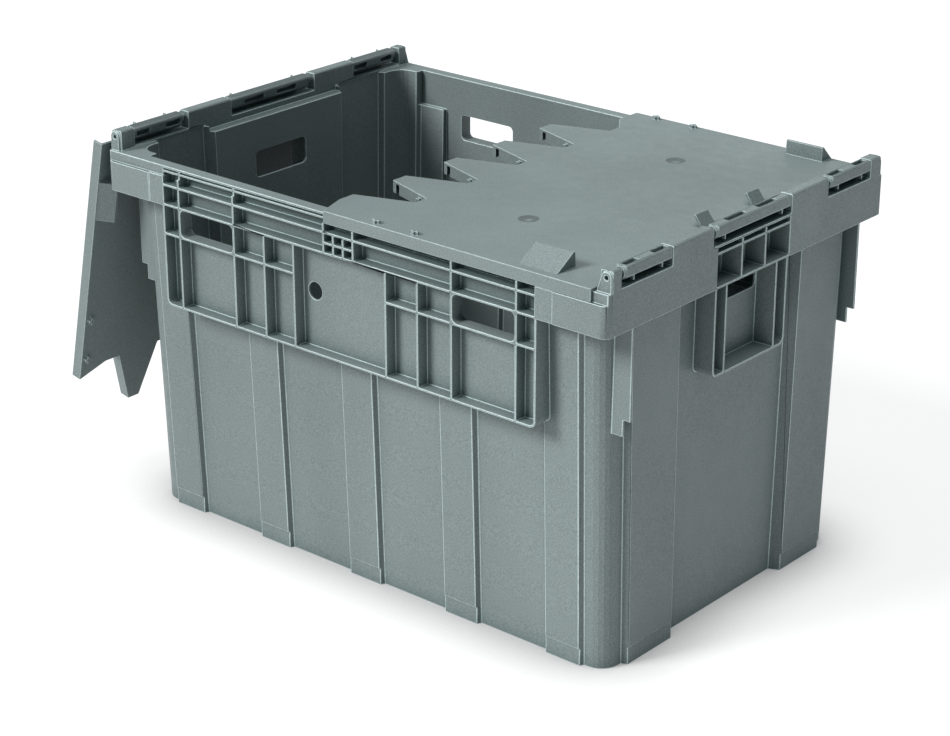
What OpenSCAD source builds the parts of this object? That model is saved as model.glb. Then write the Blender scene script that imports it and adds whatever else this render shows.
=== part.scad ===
// Attached lid tote: one moulded container, two interlocking lids and the two steel
// rods that hinge them. Origin at the centre of the base, +Z up, +X towards the end
// whose lid is shut, -Y towards the side with the round hole. Millimetres.

/* [Container] */
// Length over the end bands
length = 709; // [700:1:720]
// Width over the side bands
width = 495; // [490:1:500]
// Height of the side rims
rim_z = 433.7; // [430:0.1:436]
// Underside of the band that runs round the top
band_z = 388; // [384:1:390]
// Thickness of the walls
wall = 3; // [2.5:0.1:3.5]
// Thickness of the outside ribs
rib = 2.5; // [2:0.1:3]
// Inside of the floor
floor_z = 6; // [5:0.5:8]
// Half length of the base at its corners
base_half_length = 332; // [330:1:334]
// Half width of the base at its corners
base_half_width = 208; // [206:1:209]
// How far each side wall leans out over the height of the band
side_draft = 12; // [10:0.5:12]
// How far each end wall leans out over the height of the band
end_draft = 2; // [1:0.5:3]

/* [Handles] */
// Width of a handhole in the long sides
side_grip_w = 82; // [76:1:82]
// Width of the handhole in each end
end_grip_w = 84; // [70:1:84]
// Bottom of the grip pockets in the ends
pocket_z = 290; // [280:1:300]

/* [Lids] */
// Top of a shut lid
lid_z = 437; // [437:0.1:437.5]
// Thickness of a lid
lid_t = 3; // [2.5:0.1:3]
// Depth of the skirt round a lid
skirt = 14; // [12:0.5:14]
// Distance between neighbouring teeth of one lid
tooth_pitch = 83.5; // [81:0.5:84]
// Reach of a tooth past the middle of the container
tooth_reach = 34; // [30:1:36]
// Gap between the two lids, along the length
lid_gap = 4; // [3:0.5:5]
// How far a lid swings from shut to hanging on its stops
swing = 258; // [250:1:258]

/* [Hinges] */
// Height of the hinge rods
rod_z = 449; // [448.5:0.1:449.5]
// Diameter of the hinge rods
rod_d = 5; // [4:0.5:6]
// Radial clearance of a lid on its rod
rod_play = 0.07; // [0.02:0.01:0.1]
// Radius of the hinge barrels
barrel_r = 7; // [6.5:0.1:7]

/* [Hidden] */
$fn = 48;
grey = [0.46, 0.51, 0.51];
dark_grey = [0.42, 0.47, 0.47];
steel = [0.62, 0.63, 0.64];
eps = 1;                          // overlap that joins neighbouring shapes

// Container walls
corner_r = 22;                    // corner radius of the base
side_pillars = [-280, -140, 0, 140, 280];
side_pillar_w = 50;
side_pillar_out = 6;
end_pillar_y = [100, 181];        // from and to, on each side of the middle
end_pillar_out = 8;
end_middle_in = 5;                // the wall between the end pillars sits this far back
flank = 3;                        // run of a pillar's sloping side
foot_z = 20;                      // the pillars step back below this
foot_in = 0.9;

// Band and ribs
side_web = 232;                   // outside of the wall behind the side ribs
rib_face = width / 2 - 1;         // outer edges of the side ribs
ledge_z = 422.5;                  // the lid's skirt comes down to here
rim_half_w = width / 2 - 3.5;     // the rim stands back so that the skirt fits over it
band_r = 9;
pad_x = 287;                      // raised pads run from here to the corners
apron_z = 270;
apron_x = 267;
apron_r = 8;
cell_z = 354;                     // shelf under the handholes
middle_z = 411;                   // shelf between the band's underside and the rim
side_ribs = [66, 110];            // ribs of the apron only
grip_ribs = [156, 241];           // ribs beside the handholes, up to the rim
side_grip_x = (grip_ribs[0] + grip_ribs[1]) / 2;
centre_rib_x = 21;                // ribs of the band only
cell_rib_x = 7;                   // ribs of the small cells in the middle
rim_rib_z = 426;                  // rib round the outside of the rim
pad_out = 1;                      // how far the pads stand out
grip_r = 6;
hole_r = 10;
hole_x = -48;
hole_z = 336;

// Ends
end_x = length / 2;
rod_x = end_x - barrel_r;
beam_x = rod_x - 8.5;             // inner face of the hinge beam, flush with the end pillars
top_z = rod_z + barrel_r;
notch_z = 435.5;                  // floor of the notches that the lid's leaves turn in
leaves = [[-218, -142], [-66, 66], [142, 218]];
leaf_play = 1;                    // side play of a leaf in its notch
leaf_gap = 7;                     // wider gap at the end where the rod goes in
bulge_z = 428;                    // top of the step in the middle of each end wall
bulge_y = 109;
end_grip_y = 66;                  // half width of the open grip in the band
end_shelf_z = 425;                // shelf over the open grip
grip_rib_y = 21;
pocket_y = 65;                    // half width of the pocket under it
pocket_rib_y = 45;
end_grip_h = 32;
end_grip_x = [300, 345];          // the handhole is cut from and to
gusset_x = 310;
gusset_y = 203;
gusset_step = 10;
gusset_step_z = 288;
panel_x = [12, 298];              // underside panels, from and to
panel_y = [12, 182];
panel_depth = 2.5;
post_y = [rim_half_w - 7, rim_half_w - 3.5];  // from and to, of the ears that hold a rod
ear_r = barrel_r - 0.8;
ear_foot_x = rod_x - 12;
rim_web_x = 303;                  // the wall inside the band is flat up to here

// Lids
lid_half_w = width / 2;
lid_back = rod_x - 13;            // the plate stops here, short of the beam
tooth_first_y = -197.5;           // middle of the first tooth of the right lid
tooth_n = 5;
tip_flat = 21;
gap_flat = 17;
front_edge_x = -21;               // where the lids meet at the two sides
rear_edge_x = 14;
notch_x = [6, 12.5];              // notch in a tooth's flank, from its tip
peg_x = 2 * tooth_reach - 13.2;   // peg that a notch of the other lid drops over
tooth_skirt_t = 6;                // thickness of the toothed skirt, along the length
side_skirt_t = 2.5;
under_y = 224;                    // ribs and tooth skirts stay inside the container
lid_rib_y = [-195, -130, -65, 0, 65, 130, 195];
lid_rib_x = [50, 140, 228, 313];
lid_rib_h = 11;
leaf_foot_z = rod_z - 8;          // underside of a leaf
leaf_face_z = leaf_foot_z + 3.5;  // lower edge of its outer face
leaf_foot_in = 15;
windows = [[-213, -193], [-168, -146], [-43, -11], [11, 43], [146, 168], [193, 213]];
stop_tabs = [[-37, -15], [54, 76]];  // from and to, along the hinge
lug_x = [rod_x - 110, rod_x - 62];
lug_h = 16;
bump_x = [50, 103];
bump_y = 240;
bump_h = 4;
dish_x = 160;
dish_y = 128;
dish_ball = 36;                   // the dishes are cut with a ball of this radius
dish_depth = 1.8;

// Rods
rod_half_length = rim_half_w - 10;

// ---------- container outline ----------

function kx(z) = 1 + end_draft / base_half_length * z / band_z;
function ky(z) = 1 + side_draft / base_half_width * z / band_z;

// A stretch of wall running along +X at distance d, with a raised pillar of depth h
// round centre c and half width w.
function pillar(c, w, d, h) = [[c - w, d], [c - w + flank, d + h], [c + w - flank, d + h], [c + w, d]];

function turn(p, a) = [p.x * cos(a) - p.y * sin(a), p.x * sin(a) + p.y * cos(a)];
function turned(pts, a) = [for (p = pts) turn(p, a)];

// One side wall, drawn outwards along +Y from right to left.
function side_wall(inset, out, b) =
    [for (i = [len(side_pillars) - 1 : -1 : 0])
        let (q = pillar(side_pillars[i], side_pillar_w / 2 - inset, b, out))
        for (k = [3 : -1 : 0]) q[k]];

// One end wall, drawn along +X from bottom to top, with the middle set back.
function end_wall(inset, out, a) =
    let (lo = end_pillar_y[0] + inset, hi = end_pillar_y[1] - inset, m = a - end_middle_in)
    [[a, -hi], [a + out, -hi + flank], [a + out, -lo - flank], [m, -lo + flank],
     [m, lo - flank], [a + out, lo + flank], [a + out, hi - flank], [a, hi]];

function corner(a, b, r, from) =
    [for (i = [0 : 6]) let (t = from + 15 * i) [a + r * cos(t), b + r * sin(t)]];

// Outline of the walls, inset by a wall thickness for the inside, counter-clockwise.
function outline(inset, side_out, end_out) =
    let (a = base_half_length - inset, b = base_half_width - inset, r = corner_r - inset,
         ca = a - r, cb = b - r)
    concat(end_wall(inset, end_out, a), corner(ca, cb, r, 0),
           side_wall(inset, side_out, b), corner(-ca, cb, r, 90),
           turned(end_wall(inset, end_out, a), 180), corner(-ca, -cb, r, 180),
           turned(side_wall(inset, side_out, b), 180), corner(ca, -cb, r, 270));

// A drafted solid of the outline between two heights.
module drafted(z0, z1, inset, side_out, end_out)
    translate([0, 0, z0])
        linear_extrude(height = z1 - z0, slices = 1, scale = [kx(z1) / kx(z0), ky(z1) / ky(z0)])
            polygon([for (p = outline(inset, side_out, end_out)) [p.x * kx(z0), p.y * ky(z0)]]);

// ---------- helpers ----------

// Box between two values on each axis.
module block(x, y, z)
    translate([x[0], y[0], z[0]])
        cube([x[1] - x[0], y[1] - y[0], z[1] - z[0]]);

// Rectangle with round corners.
module rounded(x, y, r) {
    for (d = [[r, 0], [0, r]])
        translate([x[0] + d.x, y[0] + d.y])
            square([x[1] - x[0] - 2 * d.x, y[1] - y[0] - 2 * d.y]);
    for (u = [x[0] + r, x[1] - r], v = [y[0] + r, y[1] - r])
        translate([u, v])
            circle(r);
}

// Extrudes a drawing of the XZ plane along Y, between two Y values.
module along_y(y0, y1)
    translate([0, y1, 0])
        rotate([90, 0, 0])
            linear_extrude(y1 - y0)
                children();

// Extrudes a drawing of the YZ plane along X, between two X values.
module along_x(x0, x1)
    translate([x0, 0, 0])
        rotate([90, 0, 90])
            linear_extrude(x1 - x0)
                children();

module both_sides() {
    children();
    mirror([0, 1, 0])
        children();
}

module both_ends() {
    children();
    mirror([1, 0, 0])
        children();
}

// ---------- container ----------

// Outside of the walls; the pillars step back to narrower feet.
module shell()
    difference() {
        drafted(0, rim_z, 0, side_pillar_out, end_pillar_out);
        both_sides()
            for (x = side_pillars)
                block([x - side_pillar_w / 2 - eps, x + side_pillar_w / 2 + eps],
                      [base_half_width + side_pillar_out - foot_in, width], [-eps, foot_z]);
        both_ends()
            both_sides()
                block([base_half_length + end_pillar_out - foot_in, length],
                      [end_pillar_y[0] - eps, end_pillar_y[1] + eps], [-eps, foot_z]);
    }

module cavity() {
    drafted(floor_z, rim_z + eps, wall, side_pillar_out, end_pillar_out);
    inner = side_web - wall;
    along_y(-inner, inner)
        rounded([-apron_x + wall, apron_x - wall], [apron_z + wall, rim_z + 2 * apron_r],
                apron_r - wall);
    block([-rim_web_x, rim_web_x], [-inner, inner], [band_z + wall, rim_z + eps]);
    block([-beam_x, beam_x], [-bulge_y, bulge_y], [bulge_z, rim_z + eps]);
}

// Horizontal and upright ribs, as seen from the front.
module bar(x0, x1, z)
    translate([x0, z])
        square([x1 - x0, rib]);

module post(x, z0, z1)
    translate([x - rib / 2, z0])
        square([rib, z1 - z0]);

// Outline of the apron with its round lower corners, cut off level at the top.
module apron_drawing(inset, top)
    intersection() {
        rounded([-apron_x + inset, apron_x - inset], [apron_z + inset, top + 2 * apron_r],
                apron_r - inset);
        translate([-apron_x, apron_z])
            square([2 * apron_x, top - apron_z]);
    }

// Front view of the ribs on one long side.
module side_ribs_drawing() {
    difference() {
        apron_drawing(0, band_z + rib);
        apron_drawing(rib, band_z + 2 * rib);
    }
    for (s = [-1, 1]) {
        for (x = side_ribs)
            post(s * x, apron_z, band_z + rib);
        for (x = grip_ribs)
            post(s * x, apron_z, ledge_z);
        post(s * centre_rib_x, band_z, ledge_z);
        post(s * cell_rib_x, band_z, middle_z);
        post(s * (apron_x - rib / 2), band_z, ledge_z);
        bar(min(s * side_ribs[0], s * apron_x), max(s * side_ribs[0], s * apron_x), cell_z);
        difference() {
            translate([s * side_grip_x - (grip_ribs[1] - grip_ribs[0]) / 2, cell_z + rib / 2])
                square([grip_ribs[1] - grip_ribs[0], band_z - cell_z]);
            side_grip_drawing(s);
        }
    }
    for (z = [band_z, middle_z])
        bar(-apron_x, apron_x, z);
    bar(-centre_rib_x, centre_rib_x, (band_z + middle_z) / 2);
}

module side_grip_drawing(s)
    rounded([s * side_grip_x - side_grip_w / 2, s * side_grip_x + side_grip_w / 2],
            [cell_z + rib, band_z], grip_r);

module side_of_band() {
    web = side_web - 2 * eps;
    along_y(web, rib_face)
        side_ribs_drawing();
    // wall behind the ribs, with its shelf and its two returns
    along_y(side_web - wall, side_web)
        apron_drawing(0, rim_z);
    along_y(base_half_width - wall, side_web)
        difference() {
            apron_drawing(0, band_z);
            apron_drawing(wall, band_z + eps);
        }
    // the same ribs above the ledge, set back behind the lid's skirt
    for (x = concat(grip_ribs, [centre_rib_x]), s = [-1, 1])
        block([s * x - rib / 2, s * x + rib / 2], [web, rim_half_w], [ledge_z - eps, rim_z]);
    block([-apron_x, apron_x], [web, rim_half_w - 0.5], [rim_rib_z, rim_rib_z + rib]);
    // wall and shelf behind the corner pads
    pad_web = rim_web_x + wall;
    block([-pad_web, pad_web], [side_web - wall, side_web], [band_z, rim_z]);
    block([-pad_web, pad_web], [base_half_width, side_web], [band_z, band_z + wall]);
}

// Outline of the band, or of the rim where half_w is less.
module band_drawing(half_w)
    intersection() {
        rounded([-end_x, end_x], [-width / 2, width / 2], band_r);
        square([length, 2 * half_w], center = true);
    }

// Upright wall that follows the outline.
module band_ring(half_w, z0, z1)
    translate([0, 0, z0])
        linear_extrude(z1 - z0)
            difference() {
                band_drawing(half_w);
                rounded([-end_x + wall, end_x - wall], [-half_w + wall, half_w - wall],
                        band_r - wall);
            }

module whole_band() {
    difference() {
        union() {
            band_ring(width / 2, band_z, ledge_z);
            band_ring(rim_half_w, ledge_z - eps, rim_z);
        }
        // the ribbed sides take the ring's place
        block([-apron_x + eps, apron_x - eps], [-width, width], [0, 2 * rim_z]);
        // between the ribs and the raised pads the band stands back a little
        both_sides()
            block([-pad_x, pad_x], [width / 2 - pad_out, width], [0, 2 * rim_z]);
    }
    // top of the rim
    translate([0, 0, rim_z - wall])
        linear_extrude(wall)
            band_drawing(rim_half_w);
    // ledge that joins the band to the rim, filled out at the corners
    both_ends()
        both_sides() {
            block([apron_x, end_x - 2 * wall], [rim_half_w - 5, width / 2 - 1.5],
                  [ledge_z - rib, ledge_z]);
            block([end_x - 14, end_x - 2], [rim_half_w - 11, rim_half_w],
                  [ledge_z - rib, ledge_z]);
        }
}

module band()
    difference() {
        whole_band();
        // the open grips in the ends
        both_ends()
            block([end_x - band_r - wall, end_x + eps], [-end_grip_y + eps, end_grip_y - eps],
                  [band_z + rib, rim_z + eps]);
    }

// Section of the hinge beam, with small round top edges.
module beam_drawing() {
    r = 2.5;
    translate([beam_x, rim_z - eps])
        square([end_x - beam_x, top_z - r - rim_z + eps]);
    translate([beam_x + r, top_z - r - eps])
        square([end_x - beam_x - 2 * r, r + eps]);
    for (x = [beam_x + r, end_x - r])
        translate([x, top_z - r])
            circle(r);
}

// Ear round the end of a rod: upright, or with a foot that slopes down inwards.
module ear_drawing(foot_x) {
    foot = [foot_x, rim_z - eps];
    to_rod = [rod_x, rod_z] - foot;
    a = atan2(to_rod.y, to_rod.x) + asin(ear_r / norm(to_rod));
    reach = sqrt(to_rod * to_rod - ear_r * ear_r);
    polygon([foot, [rod_x + ear_r, foot.y], [rod_x + ear_r, rod_z], [rod_x, rod_z],
             foot + reach * [cos(a), sin(a)]]);
    translate([rod_x, rod_z])
        circle(ear_r);
}

module hinge_beam()
    difference() {
        union() {
            along_y(-post_y[0] - eps, post_y[0] + eps)
                beam_drawing();
            along_y(-post_y[1], -post_y[0])
                ear_drawing(ear_foot_x);
            along_y(post_y[0], post_y[1])
                ear_drawing(rod_x - ear_r);
            // back of the band above the step in the end wall
            block([beam_x, beam_x + wall], [-bulge_y, bulge_y], [bulge_z - wall, rim_z]);
            block([base_half_length - end_middle_in - 2, beam_x + wall], [-bulge_y, bulge_y],
                  [bulge_z - wall, bulge_z]);
        }
        for (l = leaves)
            block([beam_x - 5, end_x + 5], [l[0] - leaf_gap, l[1]], [notch_z, top_z + 5]);
    }

// Shelves and ribs of the open grip in the end band.
module end_grip() {
    back = base_half_length - end_middle_in - wall / 2;
    for (z = [band_z, end_shelf_z])
        block([back, end_x], [-end_grip_y - eps, end_grip_y + eps], [z, z + rib]);
    for (y = [grip_rib_y, end_grip_y], s = [-1, 1])
        block([back, end_x], [s * y - rib / 2, s * y + rib / 2], [band_z, rim_z]);
    // pocket under the band
    along_x(back, end_x - eps) {
        difference() {
            rounded([-pocket_y, pocket_y], [pocket_z, band_z + 2 * apron_r], apron_r);
            rounded([-pocket_y + rib, pocket_y - rib], [pocket_z + rib, band_z + 3 * apron_r],
                    apron_r - rib);
            translate([-end_x, band_z + rib])
                square([2 * end_x, end_x]);
        }
        for (y = [-pocket_rib_y, pocket_rib_y])
            post(y, pocket_z, band_z + rib);
    }
}

// Upright fin under the band near each corner, with a step at its foot.
module gusset()
    along_y(gusset_y - wall / 2, gusset_y + wall / 2)
        polygon([[gusset_x, band_z + eps], [end_x - eps, band_z + eps], [end_x - eps, gusset_step_z],
                 [end_x - gusset_step, gusset_step_z], [end_x - gusset_step, apron_z],
                 [gusset_x, apron_z]]);

// Openings through the walls.
module wall_openings() {
    for (s = [-1, 1])
        along_y(-width, width)
            side_grip_drawing(s);
    both_ends()
        along_x(end_grip_x[0], end_grip_x[1])
            rounded([-end_grip_w / 2, end_grip_w / 2], [band_z - end_grip_h, band_z], grip_r);
    translate([hole_x, -side_web - 5, hole_z])
        rotate([-90, 0, 0])
            cylinder(r = hole_r, h = 12);
}

// Four shallow panels in the underside leave a cross and a border to stand on.
module underside_panels()
    both_ends()
        both_sides()
            block(panel_x, panel_y, [-eps, panel_depth]);

module container_body()
    color(grey)
        difference() {
            union() {
                shell();
                both_sides()
                    side_of_band();
                band();
                for (a = [0, 180])
                    rotate(a)
                        hinge_beam();
                both_ends() {
                    end_grip();
                    both_sides()
                        gusset();
                }
            }
            cavity();
            wall_openings();
            underside_panels();
            for (s = [-1, 1])
                translate([s * rod_x, width, rod_z])
                    rotate([90, 0, 0])
                        cylinder(d = rod_d, h = 2 * width);
        }

// ---------- lids ----------

// Line where the lids meet, from -Y to +Y.
function tip_y(k) = tooth_first_y + k * tooth_pitch;
function gap_y(k) = tip_y(k) + tooth_pitch / 2;
meeting_line = concat(
    [[front_edge_x, -lid_half_w]],
    [for (k = [0 : tooth_n - 1], p = [[-tooth_reach, tip_y(k) - tip_flat / 2],
                                      [-tooth_reach, tip_y(k) + tip_flat / 2],
                                      [tooth_reach, gap_y(k) - gap_flat / 2],
                                      [tooth_reach, gap_y(k) + gap_flat / 2]]) p],
    [[rear_edge_x, gap_y(tooth_n - 1) + 36], [rear_edge_x, lid_half_w]]);

// The toothed edge of either lid, each in its own frame with its hinge towards +X.
right_edge = [for (p = meeting_line) [p.x + lid_gap / 2, p.y]];
left_edge = [for (i = [len(meeting_line) - 1 : -1 : 0])
    [-meeting_line[i].x + lid_gap / 2, -meeting_line[i].y]];

module lid_plan(edge, dx, back)
    polygon(concat([for (p = edge) [p.x + dx, p.y]], [[back, lid_half_w], [back, -lid_half_w]]));

module lid_plate(edge) {
    translate([0, 0, lid_z - lid_t])
        linear_extrude(lid_t)
            lid_plan(edge, 0, lid_back);
    // skirt along the toothed edge
    intersection() {
        translate([0, 0, lid_z - skirt])
            linear_extrude(skirt)
                difference() {
                    lid_plan(edge, 0, lid_back);
                    lid_plan(edge, tooth_skirt_t, lid_back + eps);
                }
        block([-lid_back, lid_back - eps], [-under_y, under_y], [0, 2 * lid_z]);
    }
    // skirts along the sides
    intersection() {
        translate([0, 0, lid_z - skirt])
            linear_extrude(skirt)
                lid_plan(edge, 0, lid_back);
        both_sides()
            block([-lid_back, lid_back], [lid_half_w - side_skirt_t, lid_half_w], [0, 2 * lid_z]);
    }
}

// Ribs that stiffen the underside.
module lid_ribs() {
    for (y = lid_rib_y)
        block([lid_rib_x[0], lid_rib_x[3] + 2], [y - 1, y + 1], [lid_z - lid_rib_h, lid_z - eps]);
    for (x = lid_rib_x)
        block([x, x + 2], [10 - under_y, under_y - 10], [lid_z - lid_rib_h, lid_z - eps]);
}

// Section of a leaf: block round the rod and arm down to the plate.
module leaf_drawing() {
    r = 3;
    polygon([[rod_x - barrel_r, leaf_foot_z], [rod_x + 1, leaf_foot_z], [end_x, leaf_face_z],
             [end_x, top_z - r], [rod_x - barrel_r, top_z - r]]);
    translate([rod_x - barrel_r + r, rod_z])
        square([2 * (barrel_r - r), barrel_r]);
    for (s = [-1, 1])
        translate([rod_x + s * (barrel_r - r), top_z - r])
            circle(r);
    polygon([[rod_x, rod_z], [rod_x - barrel_r, rod_z], [rod_x - 10, lid_z], [rod_x - 19, lid_z],
             [rod_x - 19, lid_z - lid_t], [lid_back, lid_z - lid_t], [rod_x - 4, leaf_foot_z],
             [rod_x, leaf_foot_z]]);
}

module leaf_set()
    for (l = leaves) {
        along_y(l[0] + leaf_play, l[1] - leaf_play)
            leaf_drawing();
        // round boss at the end where the rod goes in
        along_y(l[0] - 2, l[0] + leaf_play + eps)
            translate([rod_x, rod_z])
                circle(barrel_r - 0.5);
        // feet behind the outer face
        for (y = [l[0] + leaf_foot_in, l[1] - leaf_foot_in])
            block([end_x - 6, end_x - 1.5], [y - 1, y + 1], [leaf_foot_z - 3, leaf_face_z + eps]);
    }

// Windows that show the rod from above.
module leaf_windows()
    for (y = windows)
        block([rod_x - 3.5, rod_x + 3], y, [rod_z, top_z + eps]);

// Tilted tabs that meet the end band when the lid hangs open.
module stop_tab()
    polygon([[rod_x - 31, lid_z - eps], [rod_x - 42.5, rod_z + 1.5], [rod_x - 45, rod_z - 1],
             [rod_x - 35.5, lid_z - eps]]);

// Corner lug that guides a container stacked on top: upright inside, sloping outside.
module corner_lug(y_in, y_out)
    along_x(lug_x[0], lug_x[1])
        polygon([[y_in, lid_z - eps], [y_in + 1, lid_z + lug_h], [y_in + 4, lid_z + lug_h],
                 [y_out, lid_z], [y_out, lid_z - eps]]);

module lid_top_details() {
    for (t = stop_tabs)
        along_y(t[0], t[1])
            stop_tab();
    corner_lug(228, lid_half_w - 1);
    mirror([0, 1, 0])
        corner_lug(208, 238);
    // small crosses beside the side skirts
    for (x = bump_x, y = [-bump_y, bump_y]) {
        block([x - 5, x + 5], [y - 1.5, y + 1.5], [lid_z - eps, lid_z + bump_h]);
        block([x - 1.5, x + 1.5], [y - 4, y + 4], [lid_z - eps, lid_z + bump_h]);
    }
}

// Tooth k of an edge whose first tip is at the given index: its tip, and Y of its near
// flank at distance x from the tip.
function tip(edge, first, k) = edge[first + 4 * k];
function flank_y(edge, first, k, x) =
    let (t = tip(edge, first, k), root = edge[first + 4 * k - 1])
    t.y + (root.y - t.y) * x / (root.x - t.x);

// Pegs on the near flanks, close to the roots of the teeth.
module tooth_pegs(edge, first)
    for (k = [1 : tooth_n - 1])
        let (x = tip(edge, first, k).x + peg_x, y = flank_y(edge, first, k, peg_x))
        block([x - 2.5, x + 2.5], [y - 4, y + 2], [lid_z - 10, lid_z - 3.5]);

// Notches in the near flanks, close to the tips of the teeth.
module tooth_notches(edge, first)
    for (k = [1 : tooth_n - 1])
        let (x = tip(edge, first, k).x, y = flank_y(edge, first, k, (notch_x[0] + notch_x[1]) / 2))
        block([x + notch_x[0], x + notch_x[1]], [y - 5, y + 8], [lid_z - skirt - eps, lid_z - lid_t]);

// A shut lid, with its hinge towards +X.
module lid(edge, first)
    difference() {
        union() {
            lid_plate(edge);
            lid_ribs();
            leaf_set();
            lid_top_details();
        }
        tooth_notches(edge, first);
        leaf_windows();
        // shallow dishes in the top
        for (y = [-dish_y, dish_y])
            translate([dish_x, y, lid_z + dish_ball - dish_depth])
                sphere(r = dish_ball);
        translate([rod_x, width, rod_z])
            rotate([90, 0, 0])
                cylinder(d = rod_d + 2 * rod_play, h = 2 * width);
    }

module right_lid()
    color(grey) {
        lid(right_edge, 1);
        tooth_pegs(right_edge, 1);
    }

// The left lid is turned round and hangs open on its stops.
module left_lid()
    color(dark_grey)
        translate([-rod_x, 0, rod_z])
            rotate([0, -swing, 0])
                translate([rod_x, 0, -rod_z])
                    rotate([0, 0, 180])
                        lid(left_edge, 2);

// ---------- hinge rods ----------

module rod(x)
    translate([x, rod_half_length, rod_z])
        rotate([90, 0, 0])
            cylinder(d = rod_d, h = 2 * rod_half_length);

module right_hinge_rod()
    color(steel)
        rod(rod_x);

module left_hinge_rod()
    color(steel)
        rod(-rod_x);

container_body();
right_lid();
left_lid();
right_hinge_rod();
left_hinge_rod();
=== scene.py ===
"""Looks of the attached lid tote: plastic and steel materials, soft edges, studio."""

import math

import bpy
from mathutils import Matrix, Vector

MM = 0.001

# Camera, found from the tote's own edges
CAMERA_PLACE = (1.6867, -2.0018, 1.2764)
CAMERA_TILT = 22.607  # degrees below the horizon
CAMERA_TURN = 40.482  # degrees from looking along +Y
CAMERA_LENS = 93.85
CAMERA_SENSOR = 36

# Studio
FLOOR_SIZE = 40
FLOOR_SHADES = ((0.29, 0.29, 0.29, 1), (0.31, 0.31, 0.31, 1))
# the floor glows less near the tote: a painted contact shadow
SHADOW_GLOW = 0.2  # where the tote meets the floor
FLOOR_GLOW = 0.68  # keeps the rest of the floor nearly white
CONTACT_REACH = 90 * MM
SKY = (0.75, 0.95, 1, 1)
SKY_STRENGTH = 0.2
# Place, strength, breadth in degrees and how far the lamp shows as gloss
LAMPS = {
    "key": ((-1.7, -3.0, 2.5), 3.75, 22, 1),
    "overhead": ((0.2, -0.2, 3.0), 1.85, 45, 1),
    "back": ((-0.5, 3.0, 0.5), 0.6, 60, 0),
}

# Surfaces
PLASTIC = (0.156, 0.187, 0.187)
PLASTIC_SHINE = 0.22
# lighter copies of the plastic for the rounded edges: painted highlights
BODY_EDGE_HIGHLIGHT = 2.6
LID_EDGE_HIGHLIGHT = 1.8
# painted shade in corners and pockets: how far it reaches, how much of the base colour it
# leaves and how much less red it is
RECESS_REACH = 25 * MM
RECESS_SHADE = 0.66  # how much of the base colour is left in corners and pockets
RECESS_SHADE_LESS_RED = 0.85
# painted shade on gently sloping tops, as in the dishes of the lids
DISH_SHADE = 0.6
STEEPEST_DISH = 0.945  # upward part of the normal at the rim of a dish
DISH_FADE = 0.01
FLATTEST_DISH = 0.99  # where the dark of a dish starts to fade out to its middle
STEEL = (0.60, 0.60, 0.61)
SHADE_SAMPLES = 8

# Noise scales, in waves per metre
FLOOR_CLOUDS = 3
FLOW_MARKS = 5
WAVES = 9
SCUFFS = 38
GLOSS_PATCHES = 60
ROD_MARKS = 220
GRAIN = 650
TEXTURE = 900

# Edges
WELD = 0.02 * MM
SHARP_ANGLE = 55.0
EDGE_SEGMENTS = 2
PLASTIC_ROUNDING = 0.8 * MM
ROD_ROUNDING = 0.3 * MM


# ---------- shader helpers ----------


class Shader:
    """A node material with one Principled surface and short ways to add nodes."""

    def __init__(self, name):
        self.material = bpy.data.materials.new(name)
        self.material.use_nodes = True
        self.tree = self.material.node_tree
        self.surface = next(n for n in self.tree.nodes if n.type == "BSDF_PRINCIPLED")
        self.place = self.tree.nodes.new("ShaderNodeTexCoord").outputs["Object"]

    def feed(self, socket, value):
        """Links another node's output to a socket, or sets the socket's own value."""
        if hasattr(value, "is_linked"):
            self.tree.links.new(value, socket)
        else:
            socket.default_value = value

    def set(self, name, value):
        self.feed(self.surface.inputs[name], value)

    def add(self, kind, **inputs):
        node = self.tree.nodes.new(kind)
        for name, value in inputs.items():
            self.feed(node.inputs[name], value)
        return node

    def noise(self, scale, detail=2.0, roughness=0.5, vector=None):
        node = self.add(
            "ShaderNodeTexNoise",
            Vector=vector or self.place,
            Scale=scale,
            Detail=detail,
            Roughness=roughness,
        )
        return node.outputs["Fac"]

    def stretched(self, x, y, z):
        return self.add(
            "ShaderNodeMapping", Vector=self.place, Scale=(x, y, z)
        ).outputs["Vector"]

    def spread(self, value, low, high, to_low, to_high):
        """Maps low..high of a value onto to_low..to_high, clamped."""
        node = self.add("ShaderNodeMapRange", Value=value)
        limits = {"From Min": low, "From Max": high, "To Min": to_low, "To Max": to_high}
        for name, limit in limits.items():
            node.inputs[name].default_value = limit
        return node.outputs["Result"]

    def mix(self, fac, a, b):
        """Blends two colours, which are sockets 6 and 7 of the node."""
        node = self.tree.nodes.new("ShaderNodeMix")
        node.data_type = "RGBA"
        for socket, value in ((0, fac), (6, a), (7, b)):
            self.feed(node.inputs[socket], value)
        return node.outputs[2]

    def openness(self, reach):
        """1 in the open, less the more surface there is within reach."""
        node = self.add("ShaderNodeAmbientOcclusion", Distance=reach)
        node.samples = SHADE_SAMPLES
        return node.outputs["AO"]

    def bump(self, layers):
        """Stacks (height, distance, strength) layers, the first one lowest."""
        normal = None
        for height, distance, strength in layers:
            node = self.add(
                "ShaderNodeBump", Height=height, Distance=distance, Strength=strength
            )
            if normal is not None:
                self.tree.links.new(normal, node.inputs["Normal"])
            normal = node.outputs["Normal"]
        self.set("Normal", normal)


# ---------- materials ----------


def tint(base, share):
    return [c * share for c in base] + [1]


def marked(s, base):
    """Faint flow marks of the moulding, and scuffs from handling."""
    flow = s.noise(FLOW_MARKS, detail=3, vector=s.stretched(1, 1, 0.3))
    colour = s.mix(s.spread(flow, 0.35, 0.65, 0, 1), tint(base, 0.90), tint(base, 1.07))
    scuff = s.noise(SCUFFS, detail=8, roughness=0.72, vector=s.stretched(0.5, 0.5, 2.0))
    return s.mix(s.spread(scuff, 0.60, 0.80, 0, 0.28), colour, tint(base, 1.28))


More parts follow.
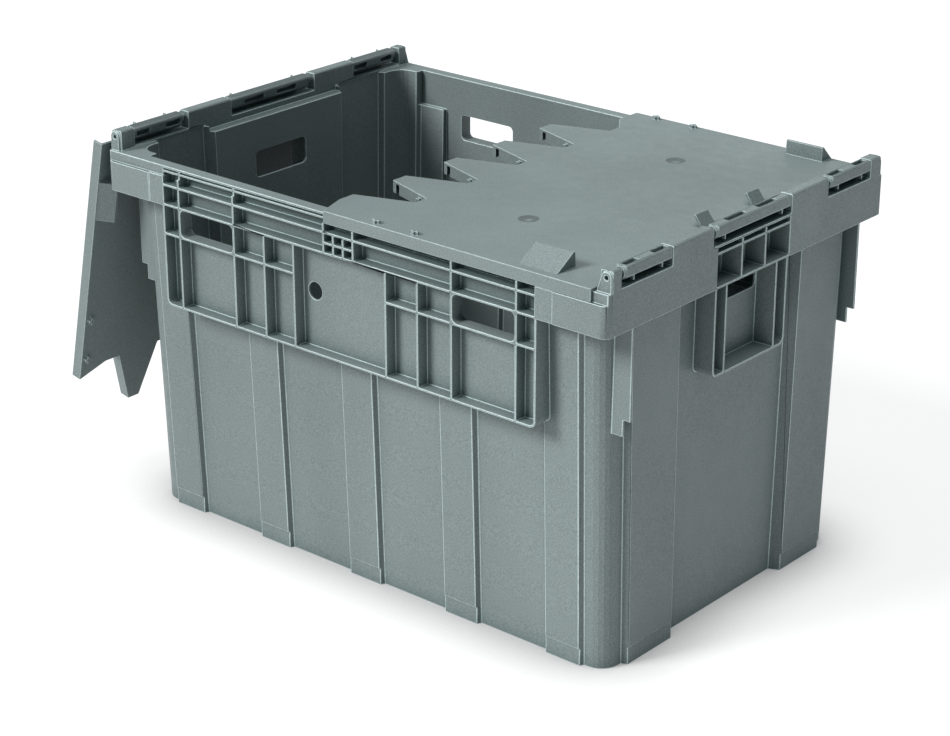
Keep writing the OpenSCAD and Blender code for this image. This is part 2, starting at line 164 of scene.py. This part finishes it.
def painted_recess_shade(s, base, colour):
    """Painted shade: darker and a little cooler in corners and pockets."""
    painted_shade = tint(base, RECESS_SHADE)
    painted_shade[0] *= RECESS_SHADE_LESS_RED
    return s.mix(s.spread(s.openness(RECESS_REACH), 0.15, 0.85, 1, 0), colour, painted_shade)


def painted_dish_shade(s, base, colour):
    """Painted shade: darker where a top face slopes gently, as in the dishes of the lids.
    """
    normal = s.tree.nodes.new("ShaderNodeNewGeometry").outputs["Normal"]
    upward = s.add("ShaderNodeSeparateXYZ", Vector=normal).outputs["Z"]
    gentle = s.spread(upward, STEEPEST_DISH, STEEPEST_DISH - DISH_FADE, 1, 0)
    sloping = s.spread(upward, FLATTEST_DISH, 1, 1, 0)
    return s.mix(sloping, colour, s.mix(gentle, colour, tint(base, DISH_SHADE)))


def grained(s, colour):
    """Fine grain, as small changes of brightness."""
    value = s.spread(s.noise(GRAIN, detail=1), 0.3, 0.7, 0.82, 1.18)
    return s.add("ShaderNodeHueSaturation", Value=value, Color=colour).outputs["Color"]


def plastic(name, base):
    """Matte moulded polypropylene, with painted shade in corners, pockets and dishes."""
    s = Shader(name)
    colour = painted_dish_shade(s, base, painted_recess_shade(s, base, marked(s, base)))
    s.set("Base Color", grained(s, colour))
    s.set("Roughness", s.spread(s.noise(GLOSS_PATCHES, detail=4), 0.3, 0.7, 0.42, 0.56))
    s.set("Specular IOR Level", PLASTIC_SHINE)
    waves = (s.noise(WAVES), 0.6 * MM, 0.12)
    texture = (s.noise(TEXTURE), 0.08 * MM, 0.5)
    s.bump([waves, texture])
    return s.material


def drawn_steel(name, base):
    """Zinc-grey drawn rod with fine marks along its length."""
    s = Shader(name)
    marks = s.noise(ROD_MARKS, detail=5, vector=s.stretched(1, 0.03, 1))
    fac = s.spread(marks, 0.35, 0.7, 0, 1)
    s.set("Base Color", s.mix(fac, tint(base, 0.72), tint(base, 1)))
    s.set("Metallic", 1.0)
    s.set("Roughness", s.spread(marks, 0.3, 0.7, 0.28, 0.5))
    s.bump([(marks, 0.05 * MM, 0.3)])
    return s.material


# ---------- object ----------


def soften(obj, width):
    """Joins the faces of the mesh and rounds its sharp edges."""
    weld = obj.modifiers.new("weld", "WELD")
    weld.merge_threshold = WELD
    bevel = obj.modifiers.new("edges", "BEVEL")
    bevel.width = width
    bevel.segments = EDGE_SEGMENTS
    bevel.limit_method = "ANGLE"
    bevel.angle_limit = math.radians(SHARP_ANGLE)
    bevel.use_clamp_overlap = False
    bevel.miter_outer = "MITER_ARC"
    bevel.loop_slide = False
    bevel.harden_normals = True
    # the rounded edges take the second material; on the plastic parts it holds the
    # painted highlight
    bevel.material = 1


def dress(obj, surface, edge):
    """Gives the mesh its materials; the second one goes on the rounded edges, and on the
    plastic parts its lighter colour is a painted highlight.
    """
    obj.data.materials.clear()
    obj.data.materials.append(surface)
    obj.data.materials.append(edge)


# ---------- studio ----------


def make_floor():
    bpy.ops.mesh.primitive_plane_add(size=FLOOR_SIZE, location=(0, 0, 0))
    floor = bpy.context.object
    floor.name = "floor"
    s = Shader("floor")
    s.set("Base Color", s.mix(s.noise(FLOOR_CLOUDS), *FLOOR_SHADES))
    s.set("Roughness", 0.9)
    s.set("Specular IOR Level", 0.1)
    s.set("Emission Color", (1, 1, 1, 1))
    # painted contact shadow: the floor glows less where the tote is near
    glow = s.spread(s.openness(CONTACT_REACH), 0.45, 0.95, SHADOW_GLOW, FLOOR_GLOW)
    s.set("Emission Strength", glow)
    floor.data.materials.append(s.material)


def broad_light(name, place, strength, breadth, gloss):
    """A far, broad lamp that shines from a place towards the object."""
    data = bpy.data.lights.new(name, "SUN")
    data.energy = strength
    data.angle = math.radians(breadth)
    data.specular_factor = gloss
    lamp = bpy.data.objects.new(name, data)
    bpy.context.scene.collection.objects.link(lamp)
    lamp.location = place
    lamp.rotation_euler = (-Vector(place)).to_track_quat("-Z", "Y").to_euler()


def make_sky():
    world = bpy.data.worlds.new("studio")
    world.use_nodes = True
    background = world.node_tree.nodes["Background"]
    background.inputs["Color"].default_value = SKY
    background.inputs["Strength"].default_value = SKY_STRENGTH
    bpy.context.scene.world = world


def make_camera():
    data = bpy.data.cameras.new("camera")
    data.lens = CAMERA_LENS
    data.sensor_width = CAMERA_SENSOR
    camera = bpy.data.objects.new("camera", data)
    bpy.context.scene.collection.objects.link(camera)
    camera.location = CAMERA_PLACE
    camera.rotation_euler = (math.radians(90 - CAMERA_TILT), 0, math.radians(CAMERA_TURN))
    bpy.context.scene.camera = camera


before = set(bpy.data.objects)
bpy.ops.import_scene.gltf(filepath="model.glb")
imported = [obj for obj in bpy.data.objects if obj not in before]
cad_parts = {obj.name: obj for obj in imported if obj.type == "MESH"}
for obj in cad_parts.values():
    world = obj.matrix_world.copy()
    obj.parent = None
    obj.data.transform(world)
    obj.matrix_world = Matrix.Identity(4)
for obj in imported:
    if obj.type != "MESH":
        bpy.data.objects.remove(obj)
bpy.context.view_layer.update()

grey = plastic("grey_plastic", PLASTIC)
# lighter plastic for the rounded edges: painted highlights on the body and lid edges
body_edge_highlight = plastic("body_edge_highlight", tint(PLASTIC, BODY_EDGE_HIGHLIGHT)[:3])
lid_edge_highlight = plastic("lid_edge_highlight", tint(PLASTIC, LID_EDGE_HIGHLIGHT)[:3])
steel = drawn_steel("rod_steel", STEEL)
steel_edges = drawn_steel("rod_steel_edges", STEEL)
finishes = {
    "container_body": (grey, body_edge_highlight, PLASTIC_ROUNDING),
    "right_lid": (grey, lid_edge_highlight, PLASTIC_ROUNDING),
    "left_lid": (grey, lid_edge_highlight, PLASTIC_ROUNDING),
    "right_hinge_rod": (steel, steel_edges, ROD_ROUNDING),
    "left_hinge_rod": (steel, steel_edges, ROD_ROUNDING),
}
for node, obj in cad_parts.items():
    surface, edge, rounding = finishes[node]
    dress(obj, surface, edge)
    soften(obj, rounding)

make_floor()
make_sky()
for name, settings in LAMPS.items():
    broad_light(name, *settings)
make_camera()

bpy.context.scene.view_settings.view_transform = "Standard"
